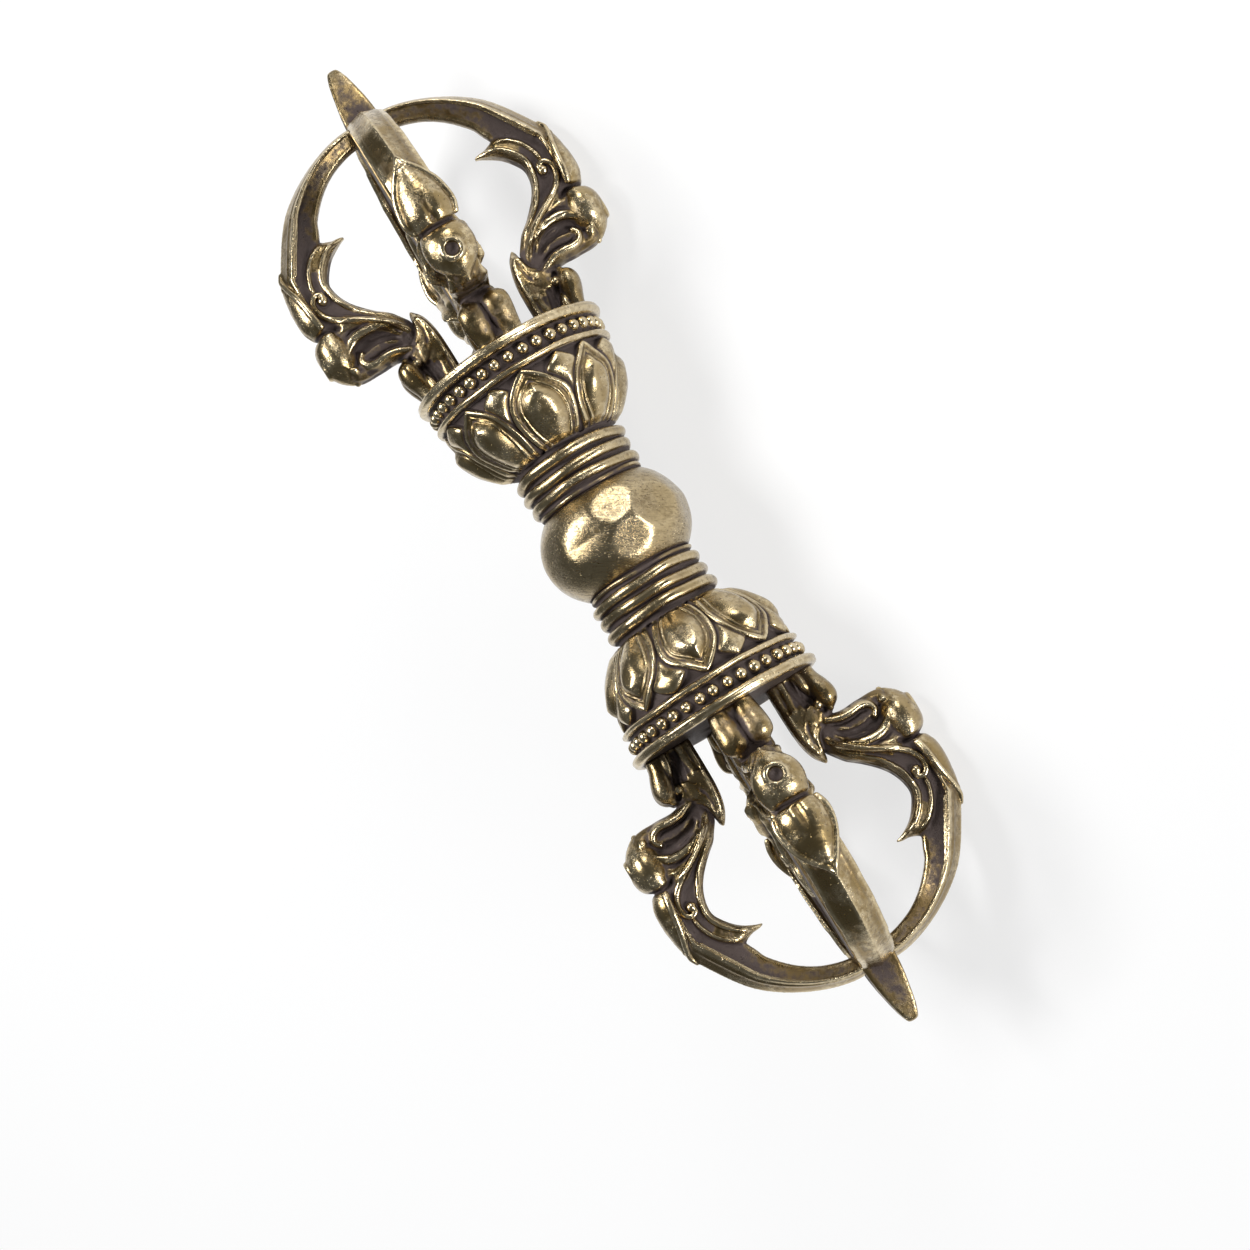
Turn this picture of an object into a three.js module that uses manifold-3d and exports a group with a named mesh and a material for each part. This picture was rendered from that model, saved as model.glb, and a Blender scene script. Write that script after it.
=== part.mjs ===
// A vajra, the double-ended thunderbolt sceptre: a ball grip between two lotus cups, and on each cup
// a cage of four makara-headed prongs that close on a four-sided point.
// Millimetres. X runs along the sceptre, Z is up and the origin is at the middle of the grip.
import * as THREE from 'three';
import { mergeVertices } from 'three/addons/utils/BufferGeometryUtils.js';
import Module from 'manifold-3d';

// Lengths along the axis, from the middle of the grip to one point
const BALL_HALF_LENGTH = 3.7;
const COLLAR_LENGTH = 4.5;
const CUP_LENGTH = 6.1;
const PLATE_THICKNESS = 3.1;
const CAGE_LENGTH = 23.5;
const POINT_LENGTH = 5.1;

// Radii and widths of the grip
const BALL_RADIUS = 6.5;
const BALL_END_RADIUS = 4.65;
const COLLAR_GROOVE_RADIUS = 4.5;
const COLLAR_RING_RADIUS = 5;
const COLLAR_RINGS = 3;
const ROD_RADIUS = 1.6;

// The lotus cup
const CUP_FOOT_RADIUS = 4.75;
const CUP_MOUTH_RADIUS = 7.55;
const PETALS = 8;
const PETAL_RELIEF = 0.6;
const PETAL_RIM = 0.34;
const BACK_PETAL_RELIEF = 0.45;

// The plate that carries the prongs
const PLATE_GROOVE_RADIUS = 7.7;
const PLATE_INNER_FILLET_RADIUS = 8.25;
const PLATE_OUTER_FILLET_RADIUS = 8.65;
const BEAD_RISE = 0.7;
const BEADS = 38;

// The prongs and the shaft that they close on
const PRONGS = 4;
const CAGE_RADIUS = 13.6;
const HEAD_WIDTH = 4.3;
const SNOUT_WIDTH = 4.8;
const BLADE_WIDTH = 3.7;
const BLADE_END_WIDTH = 3.3;
const LEG_WIDTH = 3.4;
const WEB_THICKNESS = 2.6;
const RIDGE_RISE = 0.25;
const EYE_RADIUS = 0.85;
const EYE_RISE = 0.2;
const SHAFT_WIDTH = 3;
const POINT_END_WIDTH = 1;
const TENON_RADIUS = 1.1;

// Room left between pieces that are fitted into or against one another
const CLEARANCE = 0.3;

// Where each piece begins, measured along the axis
const COLLAR_START = BALL_HALF_LENGTH;
const CUP_START = COLLAR_START + COLLAR_LENGTH;
const PLATE_START = CUP_START + CUP_LENGTH;
const PLATE_FACE = PLATE_START + PLATE_THICKNESS;
const CAGE_END = PLATE_FACE + CAGE_LENGTH;
const POINT_END = CAGE_END + POINT_LENGTH;

const wasm = await Module();
wasm.setup();

// Closed mesh to solid
function solidOf(geometry) {
  const bare = geometry.clone();
  bare.deleteAttribute('normal');
  bare.deleteAttribute('uv');
  const merged = mergeVertices(bare, 1e-4);
  const corners = merged.index.array;
  const faces = [];
  for (let i = 0; i < corners.length; i += 3) {
    const [a, b, c] = corners.slice(i, i + 3);
    if (a !== b && b !== c && c !== a) faces.push(a, b, c);
  }
  return new wasm.Manifold(new wasm.Mesh({
    numProp: 3,
    vertProperties: new Float32Array(merged.attributes.position.array),
    triVerts: new Uint32Array(faces),
  }));
}

// Solid back to mesh
function geometryOf(solid) {
  const mesh = solid.getMesh();
  const geometry = new THREE.BufferGeometry();
  geometry.setAttribute('position', new THREE.BufferAttribute(mesh.vertProperties, 3));
  geometry.setIndex(new THREE.BufferAttribute(mesh.triVerts, 1));
  geometry.computeVertexNormals();
  return geometry;
}

function joined(geometries) {
  return geometries.map(solidOf).reduce((whole, part) => whole.add(part));
}

// Closed skin over rings of points that follow one another along a piece
function skin(rings) {
  const sides = rings[0].length;
  const last = (rings.length - 1) * sides;
  const faces = [];
  for (let ring = 0; ring < last; ring += sides) {
    for (let j = 0; j < sides; j++) {
      const a = ring + j;
      const b = ring + (j + 1) % sides;
      faces.push(a, b + sides, b, a, a + sides, b + sides);
    }
  }
  for (let j = 1; j < sides - 1; j++) {
    faces.push(0, j, j + 1);
    faces.push(last, last + j + 1, last + j);
  }
  const geometry = new THREE.BufferGeometry().setFromPoints(rings.flat());
  geometry.setIndex(faces);
  return geometry;
}

// Closed skin over rings about the X axis, with a round hole through it along that axis
function boredSkin(rings, bore) {
  const centre = (ring) => ring.map(({ x }) => new THREE.Vector3(x, 0, 0));
  const [first, last] = [rings[0], rings[rings.length - 1]];
  const drill = new THREE.CylinderGeometry(bore, bore, 4 * last[0].x, 24).rotateZ(Math.PI / 2);
  return geometryOf(solidOf(skin([centre(first), ...rings, centre(last)])).subtract(solidOf(drill)));
}

// Round piece about the X axis, from pairs of place along the axis and radius, with a bore
function turned(profile, bore, segments) {
  const [start] = profile[0];
  const [end] = profile[profile.length - 1];
  const outline = [[start, bore], ...profile, [end, bore], [start, bore]];
  const points = outline.map(([x, radius]) => new THREE.Vector2(radius, x));
  return new THREE.LatheGeometry(points, segments).rotateZ(-Math.PI / 2);
}

// Point of a round piece at a place along the axis, a radius and an angle about the axis
function around(x, radius, angle) {
  return new THREE.Vector3(x, radius * Math.sin(angle), radius * Math.cos(angle));
}

const ROD_BORE = ROD_RADIUS + CLEARANCE;

// The ball is an oval in profile, cut off square where the collars meet it
function hubBall() {
  const steps = 7;
  const ovalHalfLength = BALL_HALF_LENGTH / Math.sqrt(1 - (BALL_END_RADIUS / BALL_RADIUS) ** 2);
  const profile = [];
  for (let i = 0; i <= steps; i++) {
    const x = BALL_HALF_LENGTH * (2 * i / steps - 1);
    profile.push([x, BALL_RADIUS * Math.sqrt(1 - (x / ovalHalfLength) ** 2)]);
  }
  return turned(profile, ROD_BORE, 24);
}

// Rounded rings side by side with a narrow groove at the foot of each
function neckCollar() {
  const pitch = COLLAR_LENGTH / COLLAR_RINGS;
  const rise = COLLAR_RING_RADIUS - COLLAR_GROOVE_RADIUS;
  const profile = [[COLLAR_START, COLLAR_GROOVE_RADIUS]];
  for (let ring = 0; ring < COLLAR_RINGS; ring++) {
    const start = COLLAR_START + ring * pitch;
    profile.push([start + 0.25 * pitch, COLLAR_GROOVE_RADIUS + 0.8 * rise]);
    profile.push([start + 0.55 * pitch, COLLAR_RING_RADIUS]);
    profile.push([start + pitch, COLLAR_GROOVE_RADIUS]);
  }
  return turned(profile, ROD_BORE, 22);
}

// Radius of the bare bowl under the petals, from 0 at its foot to 1 at its mouth
function bowlRadius(share) {
  const swell = 1 - (1 - share) ** 2.2;
  return CUP_FOOT_RADIUS + (CUP_MOUTH_RADIUS - CUP_FOOT_RADIUS) * swell;
}

// Half the angle that a petal covers, which runs out in a point at the bowl's mouth
function petalHalfAngle(share, halfSector) {
  const taper = share < 0.35 ? 1 : 1 - ((share - 0.35) / 0.65) ** 2;
  return halfSector * (0.03 + 0.9 * taper);
}

// One ring of the cup. Each petal has a raised rim, a hollow inside it and a swollen heart, and a
// smaller petal behind swells between the tips.
function petalRing(share) {
  const x = CUP_START + CUP_LENGTH * share;
  const bare = bowlRadius(share);
  const halfSector = Math.PI / PETALS;
  const half = petalHalfAngle(share, halfSector);
  const edge = 0.04 * halfSector;
  const heart = PETAL_RELIEF * Math.sin(Math.PI * Math.min(1, 0.12 + 0.85 * share));
  const behind = share > 0.5 ? BACK_PETAL_RELIEF * Math.sin(Math.PI * (share - 0.5) / 0.5) : 0;
  const section = [
    [-halfSector, behind], [-half - edge, 0], [-half, PETAL_RIM], [-0.72 * half, 0.35 * PETAL_RIM],
    [0, heart], [0.72 * half, 0.35 * PETAL_RIM], [half, PETAL_RIM], [half + edge, 0],
  ];
  const ring = [];
  for (let i = 0; i < PETALS; i++) {
    section.forEach(([angle, height]) => ring.push(around(x, bare + height, 2 * i * halfSector + angle)));
  }
  return ring;
}

function lotusCup() {
  const shares = [0, 0.15, 0.35, 0.5, 0.65, 0.78, 0.9, 1];
  return boredSkin(shares.map(petalRing), ROD_BORE);
}

// Disc with a thin fillet on the cup's side, a row of beads in a groove and a broad outer fillet.
// Every other point of a ring lies on a bead, and the others between two beads.
function prongPlate() {
  const grooveStart = PLATE_START + 0.32 * PLATE_THICKNESS;
  const grooveEnd = PLATE_START + 0.69 * PLATE_THICKNESS;
  const beadRow = (grooveStart + grooveEnd) / 2;
  const shoulder = 0.1 * PLATE_THICKNESS;
  const rows = [
    [PLATE_START, PLATE_GROOVE_RADIUS],
    [PLATE_START + 0.15 * PLATE_THICKNESS, PLATE_INNER_FILLET_RADIUS],
    [grooveStart, PLATE_GROOVE_RADIUS],
    [beadRow, PLATE_GROOVE_RADIUS, BEAD_RISE],
    [grooveEnd, PLATE_GROOVE_RADIUS],
    [grooveEnd + shoulder, PLATE_OUTER_FILLET_RADIUS],
    [PLATE_FACE - 0.3 * shoulder, PLATE_OUTER_FILLET_RADIUS],
    [PLATE_FACE, PLATE_OUTER_FILLET_RADIUS - shoulder],
  ];
  return boredSkin(rows.map(([x, radius, rise = 0]) => {
    const ring = [];
    for (let i = 0; i < 2 * BEADS; i++) {
      ring.push(around(x, radius + (i % 2) * rise, Math.PI * i / BEADS));
    }
    return ring;
  }), TENON_RADIUS + CLEARANCE);
}

// The prong is drawn in hundredths of the cage: height above the plate in those of the cage's length,
// and reach from the axis in those of its radius. Side is an offset in millimetres.
function patternPoint(height, reach, side = 0) {
  return new THREE.Vector3(PLATE_FACE + height * CAGE_LENGTH / 100, side, reach * CAGE_RADIUS / 100);
}

function smooth(points) {
  return new THREE.CatmullRomCurve3(points);
}

// Swept limb with an oval section, or a flat band if it has four sides. Each station holds height,
// reach, half depth in hundredths of the cage's radius, and half width in millimetres.
function limb(stations, { sides = 6, side = 0 } = {}) {
  const spine = smooth(stations.map(([height, reach]) => patternPoint(height, reach, side)));
  const corner = sides === 4 ? Math.SQRT2 : 1;
  const count = stations.length - 1;
  const rings = stations.map(([, , depth, width], i) => {
    const centre = spine.getPoint(i / count);
    const along = spine.getTangent(i / count);
    const ring = [];
    for (let j = 0; j < sides; j++) {
      const turn = 2 * Math.PI * (j + 0.5) / sides;
      const out = corner * depth * CAGE_RADIUS / 100 * Math.cos(turn);
      const aside = corner * width * Math.sin(turn);
      ring.push(new THREE.Vector3(centre.x - along.z * out, centre.y + aside, centre.z + along.x * out));
    }
    return ring;
  });
  return skin(rings);
}

// Ridge that stands out on both faces of the web and narrows to its ends
function ridge(places, depth, thin = 1) {
  const half = WEB_THICKNESS / 2 + RIDGE_RISE;
  const last = places.length - 1;
  return limb(places.map(([height, reach], i) => {
    const share = i === 0 || i === last ? 0.6 : 1;
    return [height, reach, depth * share, half * (i === last ? thin : 1)];
  }), { sides: 4 });
}

// Flat metal of the leg, the neck and the inner leaf, which the ridges stand on
function web() {
  const at = (height, reach) => {
    const point = patternPoint(height, reach);
    return new THREE.Vector2(point.x, point.z);
  };
  const outline = new THREE.Shape([
    at(-2, 33), at(24, 34), at(29, 39.5), at(38, 53.5), at(46.5, 66), at(56, 69.5), at(63, 60), at(71, 62),
    at(69, 76.5), at(58, 85), at(34, 88), at(24.5, 87), at(20, 83), at(19, 56), at(-2, 54.5),
  ]);
  const plate = new THREE.ExtrudeGeometry(outline, { depth: WEB_THICKNESS, bevelEnabled: false });
  return plate.translate(0, 0, -WEB_THICKNESS / 2).rotateX(Math.PI / 2);
}

// Leg on the plate, ending in the leaf spur beside the shaft
function leg() {
  const half = LEG_WIDTH / 2;
  return limb([
    [-3.5, 35.5, 9.5, half], [18, 34.5, 8.2, 0.9 * half],
    [25.5, 33.5, 5, 0.6 * half], [30, 34, 2.5, 0.35 * half], [32.5, 35.5, 0.5, 0.05 * half],
  ]);
}

// Lower jaw, which leaves the leg, runs out under the mouth and curls up at its end
function jaw() {
  const half = 0.42 * HEAD_WIDTH;
  return limb([
    [17.5, 43, 2.5, 0.75 * half], [21, 55, 3.8, 0.9 * half], [21.2, 68, 3.8, half],
    [21.8, 75.5, 3, half], [25.5, 76.5, 2, 0.9 * half], [26.5, 71, 1, 0.8 * half],
  ], { sides: 4 });
}

// Head, whose brow hangs over the jaw
function head() {
  const half = HEAD_WIDTH / 2;
  return limb([
    [40, 88, 6.5, 0.7 * half], [35, 89.5, 10.5, 0.96 * half], [29, 89.8, 10, half],
    [23, 89, 7, 0.7 * half], [18, 85, 1.5, 0.15 * half],
  ], { sides: 8 });
}

// Snout on the outer face: a teardrop rim with its tip along the blade, and two lobes that swell
// inside it
function snoutRim() {
  const half = SNOUT_WIDTH / 2;
  return limb([
    [39.5, 87.5, 6, 0.7 * half], [44, 87.5, 8, 0.94 * half], [50, 87.5, 8.5, half],
    [56.5, 88.5, 8, 0.78 * half], [61.5, 91, 5, 0.4 * half], [66, 93, 1, 0.08 * half],
  ]);
}

function snoutLobe(side) {
  const half = SNOUT_WIDTH / 4;
  return limb([
    [40.5, 88, 6.5, 0.75 * half], [46, 89, 10.3, half], [54, 90, 8.5, 0.75 * half],
    [60, 91, 3, 0.15 * half],
  ], { side: side * 0.57 * half });
}

// Rim of the inner leaf, which follows the cage's window and ends in the barb
function leafRim() {
  return ridge([
    [27.5, 41.5], [36, 52], [43.5, 65], [50, 71], [56.5, 71.5], [62.5, 65], [66, 56], [67, 46.5],
  ], 2, 0.1);
}

// Ridge that sweeps up the neck and curls over at the root of the blade
function scroll() {
  return ridge([
    [23, 42], [33, 53], [39.5, 69.5], [46, 83], [52, 82.5], [51, 76],
  ], 2);
}

// Upper lip, from the neck over the mouth and down behind the brow
function lip() {
  return ridge([[24, 45.5], [31.5, 56], [33, 70], [28.5, 81.5], [20, 82]], 2.2);
}

// Two of these buds hang on the leg's outer face, one to each side
function rootDrop(side) {
  const half = 0.26 * HEAD_WIDTH;
  return limb([
    [-3.5, 52.5, 5.2, 0.75 * half], [6, 54, 5.5, 0.85 * half], [13.5, 56, 6.5, half],
    [18.5, 54.5, 1.5, 0.3 * half],
  ], { side: side * 0.25 * HEAD_WIDTH });
}

// Raised ring round the eye, standing on the head's outer face
function eye() {
  const place = patternPoint(29, 98.5);
  const pupil = 0.55 * EYE_RADIUS;
  const root = -1.5 * EYE_RADIUS;
  const ring = [
    [root, pupil], [root, EYE_RADIUS], [EYE_RISE, EYE_RADIUS], [0.3 * EYE_RISE, pupil], [root, pupil],
  ];
  const points = ring.map(([rise, radius]) => new THREE.Vector2(radius, rise));
  return new THREE.LatheGeometry(points, 7).rotateX(Math.PI / 2).translate(place.x, 0, place.z);
}

// Blade: a two-sided roof on the outside, and a keel under its eaves towards the shaft.
// Each station holds the height and reach of the ridge, and those of the keel.
function blade() {
  const stations = [
    [41.5, 90, 44, 81], [52, 94, 53, 77], [62, 95.5, 61.5, 75], [70, 89, 67, 69],
    [78.5, 79.5, 73, 61], [85.5, 68.5, 78.5, 53], [92, 54.5, 84.5, 43.5], [96.5, 37.5, 89.5, 31.5],
    [99, 24.5, 91.5, 22],
  ];
  const ridgeLine = smooth(stations.map(([height, reach]) => patternPoint(height, reach)));
  const keelLine = smooth(stations.map(([, , height, reach]) => patternPoint(height, reach)));
  const count = 9;
  const rings = [];
  for (let i = 0; i <= count; i++) {
    rings.push(bladeSection(ridgeLine.getPoint(i / count), keelLine.getPoint(i / count), i / count));
  }
  const seat = SHAFT_WIDTH / 2 + CLEARANCE;
  const ridgeEnd = new THREE.Vector3(CAGE_END, 0, seat);
  const keelEnd = new THREE.Vector3(CAGE_END - 0.08 * CAGE_LENGTH, 0, seat);
  rings.push(bladeSection(ridgeEnd, keelEnd, 1));
  return skin(rings);
}

function bladeSection(top, keel, share) {
  const half = (BLADE_WIDTH + (BLADE_END_WIDTH - BLADE_WIDTH) * share) / 2;
  const eaves = 0.34 + 0.14 * share;
  const spot = (depth, aside) => top.clone().lerp(keel, depth).setY(aside);
  return [spot(0, 0), spot(eaves, half), spot(1, 0.35 * half), spot(1, -0.35 * half), spot(eaves, -half)];
}

// The whole prong, cut flat where it stands on the plate
function prong() {
  const carved = joined([
    web(), leg(), jaw(), head(), snoutRim(), snoutLobe(1), snoutLobe(-1), leafRim(), scroll(), lip(),
    rootDrop(1), rootDrop(-1), eye(), blade(),
  ]);
  const under = new THREE.BoxGeometry(CAGE_LENGTH, 4 * SNOUT_WIDTH, 4 * CAGE_RADIUS);
  const plateSide = solidOf(under.translate(PLATE_FACE - CAGE_LENGTH / 2, 0, 0));
  return geometryOf(carved.subtract(plateSide));
}

// Square rod with a pyramid point, and a round tenon that goes down into the plate
function spike() {
  const rings = [
    [PLATE_FACE, SHAFT_WIDTH], [CAGE_END, SHAFT_WIDTH], [CAGE_END + 0.5 * POINT_LENGTH, 0.78 * SHAFT_WIDTH],
    [CAGE_END + 0.85 * POINT_LENGTH, 0.5 * SHAFT_WIDTH], [POINT_END, POINT_END_WIDTH],
  ].map(([x, width]) => [[-1, -1], [-1, 1], [1, 1], [1, -1]].map(([side, up]) =>
    new THREE.Vector3(x, side * width / 2, up * width / 2)));
  const tenonLength = PLATE_THICKNESS + SHAFT_WIDTH / 3;
  const tenon = new THREE.CylinderGeometry(TENON_RADIUS, TENON_RADIUS, tenonLength, 16);
  tenon.rotateZ(-Math.PI / 2).translate(PLATE_START + tenonLength / 2, 0, 0);
  return geometryOf(joined([skin(rings), tenon]));
}

function coreRod() {
  return new THREE.CylinderGeometry(ROD_RADIUS, ROD_RADIUS, 2 * PLATE_START, 24).rotateZ(-Math.PI / 2);
}

// Old brass, lighter where hands have worn it and darker in the hidden places
function brass(color, roughness) {
  return new THREE.MeshStandardMaterial({ color, roughness, metalness: 1 });
}

function piece(name, geometry, color, roughness) {
  const mesh = new THREE.Mesh(geometry, brass(color, roughness));
  mesh.name = name;
  return mesh;
}

const collarShape = neckCollar();
const cupShape = lotusCup();
const plateShape = prongPlate();
const prongShape = prong();
const spikeShape = spike();

// Everything between the ball and one point. The prongs stand between the sides that the sceptre lies on.
function end(side) {
  const half = new THREE.Group();
  half.add(piece(`${side}_neck_collar`, collarShape, 0x8f7d4e, 0.45));
  half.add(piece(`${side}_lotus_cup`, cupShape, 0x95834f, 0.42));
  half.add(piece(`${side}_prong_plate`, plateShape, 0x8f7d4e, 0.42));
  const cage = new THREE.Group();
  cage.rotation.x = Math.PI / PRONGS;
  cage.add(piece(`${side}_spike`, spikeShape, 0x8a7a50, 0.4));
  for (let i = 0; i < PRONGS; i++) {
    const one = piece(`${side}_prong_${i + 1}`, prongShape, 0x9a8852, 0.4);
    one.rotation.x = 2 * Math.PI * i / PRONGS;
    cage.add(one);
  }
  half.add(cage);
  return half;
}

const group = new THREE.Group();
group.add(piece('hub_ball', hubBall(), 0xa89661, 0.38));
group.add(piece('core_rod', coreRod(), 0x8a7a50, 0.5));
group.add(end('upper'));
const lowerEnd = end('lower');
lowerEnd.rotation.z = Math.PI;
group.add(lowerEnd);

export default group;
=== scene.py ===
import math

import bpy
import numpy as np
import openvdb
from mathutils import Matrix, Vector


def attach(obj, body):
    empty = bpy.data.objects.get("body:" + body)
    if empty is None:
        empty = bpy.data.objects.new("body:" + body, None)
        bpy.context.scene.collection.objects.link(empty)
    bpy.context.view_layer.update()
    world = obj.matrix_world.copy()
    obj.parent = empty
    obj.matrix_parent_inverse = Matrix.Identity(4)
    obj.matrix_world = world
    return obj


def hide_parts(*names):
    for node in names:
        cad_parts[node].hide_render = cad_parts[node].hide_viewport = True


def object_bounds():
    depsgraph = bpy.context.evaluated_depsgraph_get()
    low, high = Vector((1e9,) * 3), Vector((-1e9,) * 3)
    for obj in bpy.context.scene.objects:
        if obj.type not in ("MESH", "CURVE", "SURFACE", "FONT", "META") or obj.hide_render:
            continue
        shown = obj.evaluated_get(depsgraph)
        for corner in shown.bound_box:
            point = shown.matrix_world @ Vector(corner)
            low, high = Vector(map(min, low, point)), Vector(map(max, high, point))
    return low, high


# An old cast-brass vajra. Sizes are in millimetres until a mesh is made, and X runs along the sceptre.
MM = 0.001

# Where the pieces meet along the axis, from the middle of the grip
BALL_END = 3.7
COLLAR_END = 8.2
CUP_END = 14.3
PLATE_FACE = 17.4

# Radii
BALL_RADIUS = 6.5
BALL_END_RADIUS = 4.65
GROOVE_RADIUS = 4.5
CUP_FOOT_RADIUS = 4.7
BORE_RADIUS = 1.9
PLATE_BORE_RADIUS = 1.4
BEAD_ROW_RADIUS = 7.75

PETALS = 8
BEADS = 38
PRONGS = 4

# The cages are carved in small cells, with distances kept up to a few cells from the surface
CELL = 0.1
BAND = 4 * CELL

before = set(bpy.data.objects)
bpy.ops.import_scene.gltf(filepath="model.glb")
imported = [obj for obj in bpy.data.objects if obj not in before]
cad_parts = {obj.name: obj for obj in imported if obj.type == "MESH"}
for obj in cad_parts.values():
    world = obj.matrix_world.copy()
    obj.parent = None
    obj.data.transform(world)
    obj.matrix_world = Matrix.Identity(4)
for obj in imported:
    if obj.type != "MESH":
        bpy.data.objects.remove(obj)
cad_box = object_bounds()
random = np.random.default_rng(108)


# Small shapes used in carving

def smooth_step(low, high, value):
    t = np.clip((value - low) / (high - low), 0, 1)
    return t * t * (3 - 2 * t)


def hump(distance, half):
    """A rounded ridge of height 1 across a line, and 0 beyond its half width."""
    return np.sqrt(np.clip(1 - (distance / half) ** 2, 0, 1))


def soft_min(a, b, blend):
    mix = np.clip(blend - np.abs(a - b), 0, None) / blend
    return np.minimum(a, b) - mix * mix * blend / 4


def soft_max(a, b, blend):
    return -soft_min(-a, -b, blend)


def curve_through(points, steps=14):
    """A smooth line through points of any number of values."""
    p = np.asarray(points, float)
    p = np.vstack([2 * p[0] - p[1], p, 2 * p[-1] - p[-2]])
    t = np.linspace(0, 1, steps, endpoint=False)[:, None]
    spans = []
    for a, b, c, d in zip(p, p[1:], p[2:], p[3:]):
        spans.append(0.5 * (2 * b + (c - a) * t + (2 * a - 5 * b + 4 * c - d) * t ** 2
                            + (3 * b - a - 3 * c + d) * t ** 3))
    return np.vstack(spans + [p[-2:-1]])


def fade_at_ends(nearest, line):
    """1 along a line and 0 at its ends, with a smooth change over its first and last 15%."""
    return smooth_step(0, 1, np.minimum(nearest, len(line) - 1 - nearest) / (0.15 * len(line)))


def unevenness(points, size, seed):
    """A slow rise and fall over the surface, about 1 at most, as on a casting finished by hand."""
    waves = np.random.default_rng(seed)
    count = 10
    total = np.zeros(points.shape[:-1])
    for _ in range(count):
        direction = waves.normal(size=3)
        direction *= 2 * np.pi / (size * waves.uniform(0.7, 1.8) * np.linalg.norm(direction))
        total += np.sin(points @ direction + waves.uniform(0, 2 * np.pi))
    return total / (count / 2)


# Meshes

def new_mesh(name, points, quads, hollows):
    """A mesh from points in millimetres. Hollows holds three values for each point: near and wide say
    how sunken it lies, 0.5 where flat, and dark how much patina it keeps, with painted shade in a few places."""
    mesh = bpy.data.meshes.new(name)
    mesh.vertices.add(len(points))
    mesh.vertices.foreach_set("co", (np.asarray(points, np.float32) * MM).ravel())
    mesh.loops.add(quads.size)
    mesh.loops.foreach_set("vertex_index", quads.astype(np.int32).ravel())
    mesh.polygons.add(len(quads))
    mesh.polygons.foreach_set("loop_start", np.arange(0, quads.size, 4, dtype=np.int32))
    mesh.update(calc_edges=True)
    mesh.validate()
    for label, values in hollows.items():
        mesh.attributes.new(label, "FLOAT", "POINT").data.foreach_set("value", values.astype(np.float32))
    mesh.shade_smooth()
    return mesh


def place(name, mesh, finish, slot):
    """A piece that stands for the CAD node of the same name."""
    piece = bpy.data.objects.new(name + "_cast", mesh)
    bpy.context.scene.collection.objects.link(piece)
    mesh.materials.append(finish)
    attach(piece, "root")
    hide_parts(name)


def turned(points, matrix):
    return points @ np.array(matrix).T


# Blocks of small cells

def spread(field, radius):
    """The mean of a field within about a radius, by two passes of a box along each axis."""
    reach = max(1, round(radius / CELL))
    margin = ((reach + 1, reach), (0, 0), (0, 0))
    for axis in range(3):
        for _ in range(2):
            sums = np.cumsum(np.pad(np.moveaxis(field, axis, 0), margin), axis=0)
            means = (sums[2 * reach + 1:] - sums[:-2 * reach - 1]) / (2 * reach + 1)
            field = np.moveaxis(means, 0, axis)
    return field


def sample(field, cells):
    """Values of a field at places between its cells."""
    low = np.clip(np.floor(cells).astype(int), 0, np.array(field.shape) - 2)
    share = cells - low
    total = 0
    for corner in np.ndindex(2, 2, 2):
        weight = np.prod(np.where(corner, share, 1 - share), axis=1)
        total = total + weight * field[tuple((low + corner).T)]
    return total


def block_surface(depth):
    """The surface in a block of distances: its points, counted in cells, its faces and its hollows."""
    near_reach, wide_reach = 0.3, 1.1
    depth = np.clip(depth, -BAND, BAND)
    grid = openvdb.FloatGrid(BAND)
    grid.copyFromArray(np.ascontiguousarray(depth, np.float32))
    cells, quads = grid.convertToQuads(isovalue=0.0)
    metal = np.clip(0.5 - depth / CELL, 0, 1)
    hollows = {"near": sample(spread(metal, near_reach), cells),
               "wide": sample(spread(metal, wide_reach), cells)}
    return cells, quads, hollows


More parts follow.
